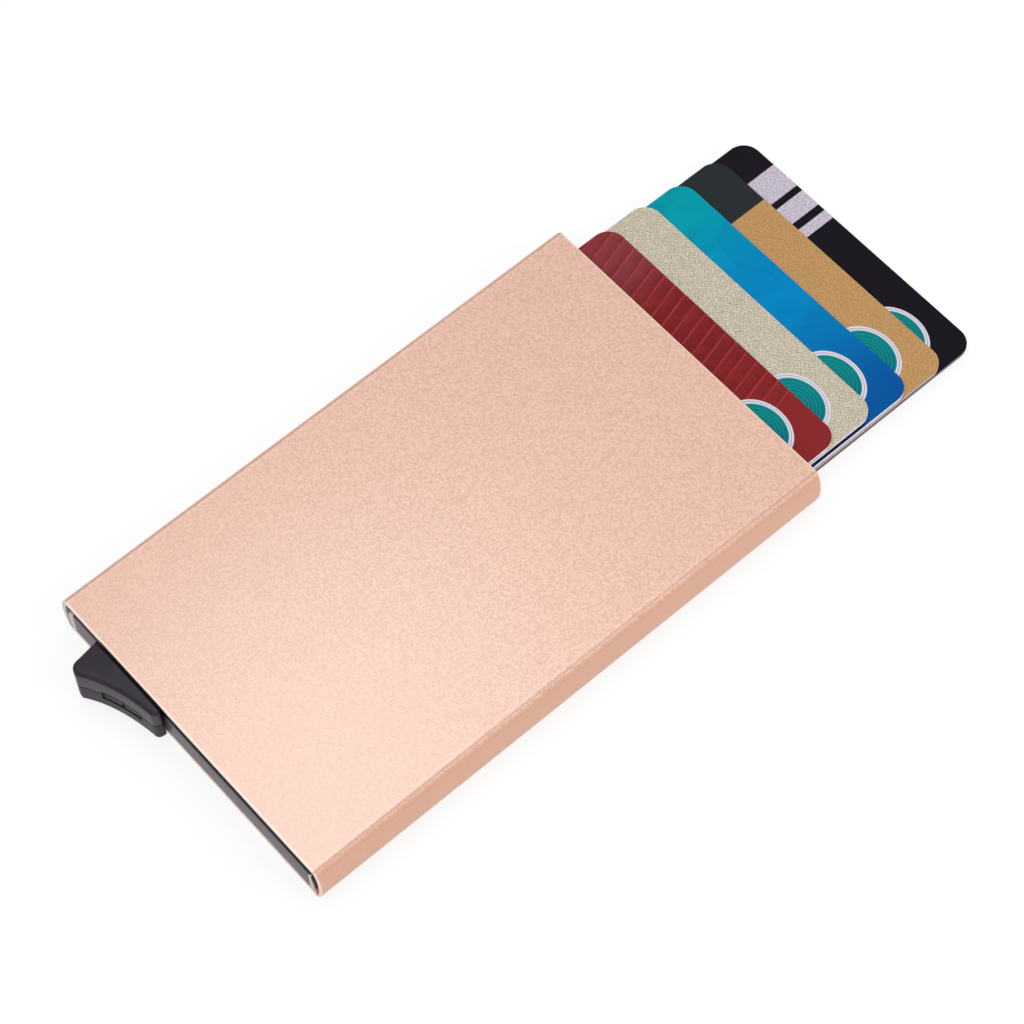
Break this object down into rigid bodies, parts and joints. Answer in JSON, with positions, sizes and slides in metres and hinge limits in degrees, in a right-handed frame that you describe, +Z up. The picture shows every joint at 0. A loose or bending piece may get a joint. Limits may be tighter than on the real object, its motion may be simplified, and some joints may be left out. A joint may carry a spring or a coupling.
{
  "type": "card holder",
  "caption": "Slim aluminium card sleeve with a thumb trigger that fans its cards out of the open end like a staircase.",
  "frame": {"origin": "middle of the underside of the aluminium case, on its flat face", "axes": "+Y out of the mouth where the cards come out, +Z up through the case's flat faces, +X across the case"},
  "size_m": [0.0624, 0.1451, 0.0089],
  "materials": {
    "rose_gold_aluminium": "blasted and anodised rose gold",
    "cap_plastic": "satin moulded",
    "trigger_plastic": "satin moulded",
    "rail_plastic": "satin moulded",
    "lever_plastic": "natural slippery plastic",
    "pin_steel": "ground",
    "spring_steel": "rolled strip",
    "soft_foam": "closed-cell foam",
    "red_card": "printed and laminated",
    "beige_card": "printed and laminated",
    "blue_card": "printed and laminated",
    "gold_card": "printed and laminated",
    "black_card": "printed and laminated"
  },
  "bodies": {
    "holder": {"case_sleeve": "rose_gold_aluminium", "left_card_rail": "rail_plastic", "right_card_rail": "rail_plastic", "card_side_spring": "spring_steel", "lower_friction_strip": "soft_foam", "upper_friction_strip": "soft_foam", "end_cap_body": "cap_plastic", "end_cap_cover": "cap_plastic", "pivot_pin": "pin_steel", "pivot_washer": "pin_steel"},
    "trigger": {"trigger_upper_shell": "trigger_plastic", "trigger_lower_shell": "trigger_plastic", "slider_bar": "trigger_plastic", "drive_pin": "pin_steel"},
    "ejector": {"ejector_lever": "lever_plastic"},
    "card_1": {"card_1_red": "red_card"},
    "card_2": {"card_2_beige": "beige_card"},
    "card_3": {"card_3_blue": "blue_card"},
    "card_4": {"card_4_gold": "gold_card"},
    "card_5": {"card_5_black": "black_card"}
  },
  "joints": [
    {"name": "trigger_slide", "type": "slide", "parent": "holder", "child": "trigger", "axis": [1, 0, 0], "range_m": [0, 0.0082]},
    {"name": "ejector_turn", "type": "hinge", "parent": "holder", "child": "ejector", "pos_m": [0.02265, -0.03905, 0.00445], "axis": [0, 0, 1], "range_deg": [0, 58]},
    {"name": "card_1_slide", "type": "slide", "parent": "holder", "child": "card_1", "axis": [0, -1, 0], "range_m": [0, 0.00941]},
    {"name": "card_2_slide", "type": "slide", "parent": "holder", "child": "card_2", "axis": [0, -1, 0], "range_m": [0, 0.0174]},
    {"name": "card_3_slide", "type": "slide", "parent": "holder", "child": "card_3", "axis": [0, -1, 0], "range_m": [0, 0.02501]},
    {"name": "card_4_slide", "type": "slide", "parent": "holder", "child": "card_4", "axis": [0, -1, 0], "range_m": [0, 0.03281]},
    {"name": "card_5_slide", "type": "slide", "parent": "holder", "child": "card_5", "axis": [0, -1, 0], "range_m": [0, 0.0392]}
  ],
  "couplings": [
    {"joint": "ejector_turn", "follows": "trigger_slide", "rad_per_m": 123.39},
    {"joint": "card_1_slide", "follows": "trigger_slide", "ratio": 1.1468},
    {"joint": "card_2_slide", "follows": "trigger_slide", "ratio": 2.1216},
    {"joint": "card_3_slide", "follows": "trigger_slide", "ratio": 3.0486},
    {"joint": "card_4_slide", "follows": "trigger_slide", "ratio": 3.9994},
    {"joint": "card_5_slide", "follows": "trigger_slide", "ratio": 4.7783}
  ]
}
